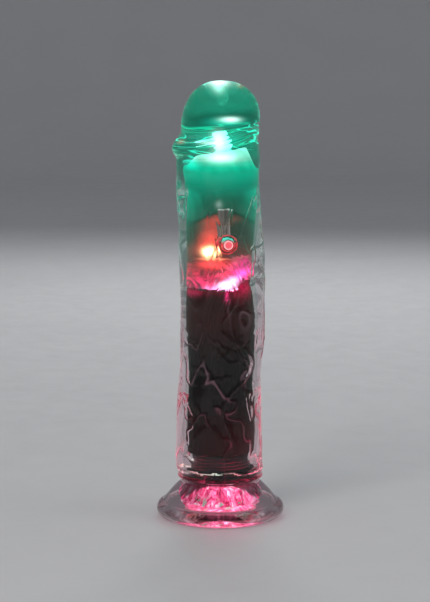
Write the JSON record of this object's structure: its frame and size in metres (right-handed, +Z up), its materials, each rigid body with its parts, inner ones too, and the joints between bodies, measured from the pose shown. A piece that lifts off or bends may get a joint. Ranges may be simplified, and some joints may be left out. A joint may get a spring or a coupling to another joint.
{
  "type": "illuminated dildo",
  "caption": "Adult product: clear soft phallic sleeve on a suction cup base, over a screw-on light unit with coloured lamps, a cell and a push button.",
  "frame": {"origin": "middle of the face that the suction base stands on", "axes": "+Z up along the shaft; -Y is the side with the push button"},
  "size_m": [0.0606, 0.0606, 0.2065],
  "materials": {
    "clear_rubber": "clear soft elastomer, glossy",
    "clear_plastic": "clear hard plastic, glossy",
    "frosted_plastic": "frosted, lets light through",
    "core_plastic": "clear rose plastic, streaked, lit from above",
    "boss_plastic": "dark smoked plastic, faint turned lines",
    "button_plastic": "moulded, satin",
    "bezel_plastic": "moulded, glossy",
    "circuit_board": "solder mask",
    "green_lamp": "lit lamp, green",
    "amber_lamp": "lit lamp, amber",
    "rose_lamp": "lit lamp, rose",
    "spring_steel": "bright wire and plate",
    "contact_brass": "plated contact",
    "black_rubber": "matte seal",
    "boot_rubber": "soft moulded boot",
    "black_plastic": "moulded",
    "cell_skin": "shrink sleeve",
    "dark_cloth": "dark maroon felt, frayed edge"
  },
  "bodies": {
    "base": {"suction_base": "clear_rubber", "base_core": "core_plastic", "thread_boss": "boss_plastic", "contact_board": "circuit_board", "base_led": "rose_lamp", "contact_spring": "contact_brass"},
    "body": {"soft_body": "clear_rubber", "button_bezel": "bezel_plastic"},
    "button": {"push_button": "button_plastic", "button_clip": "spring_steel", "button_spring": "spring_steel"},
    "thread_seal": {"boss_seal": "black_rubber"},
    "light_unit": {"capsule_tube": "clear_plastic", "capsule_crown": "frosted_plastic", "crown_seal": "clear_rubber", "diffuser": "frosted_plastic", "head_led": "green_lamp", "head_leads": "spring_steel", "head_board": "circuit_board", "reflector": "frosted_plastic", "light_guide": "clear_plastic", "tact_switch": "black_plastic", "switch_bracket": "spring_steel", "amber_board": "frosted_plastic", "amber_led": "amber_lamp", "board_standoffs": "clear_plastic", "board_screws": "spring_steel", "rose_board": "circuit_board", "rose_led": "rose_lamp", "contact_pad": "contact_brass", "positive_spring": "contact_brass", "battery_cell": "cell_skin", "cell_wrap": "dark_cloth", "spine_board": "circuit_board", "spine_parts": "black_plastic"},
    "switch": {"switch_boot": "boot_rubber", "switch_stem": "black_plastic"}
  },
  "joints": [
    {"name": "body_lift", "type": "slide", "parent": "base", "child": "body", "axis": [0, 0, 1], "range_m": [0, 0.165]},
    {"name": "button_press", "type": "slide", "parent": "body", "child": "button", "axis": [0, 1, 0], "range_m": [0, 0.0008], "stiffness_N_per_m": 300, "springref_m": -0.001, "deforming": ["button_spring"]},
    {"name": "unit_rise", "type": "slide", "parent": "base", "child": "thread_seal", "axis": [0, 0, 1], "range_m": [0, 0.003]},
    {"name": "unit_turn", "type": "hinge", "parent": "thread_seal", "child": "light_unit", "pos_m": [0, 0, 0], "axis": [0, 0, 1], "range_deg": [0, 720]},
    {"name": "switch_press", "type": "slide", "parent": "light_unit", "child": "switch", "axis": [0, 1, 0], "range_m": [0, 0.00025]}
  ],
  "couplings": [
    {"joint": "unit_rise", "follows": "unit_turn", "m_per_rad": 0.0002387},
    {"joint": "switch_press", "follows": "button_press", "ratio": 0.3125}
  ]
}
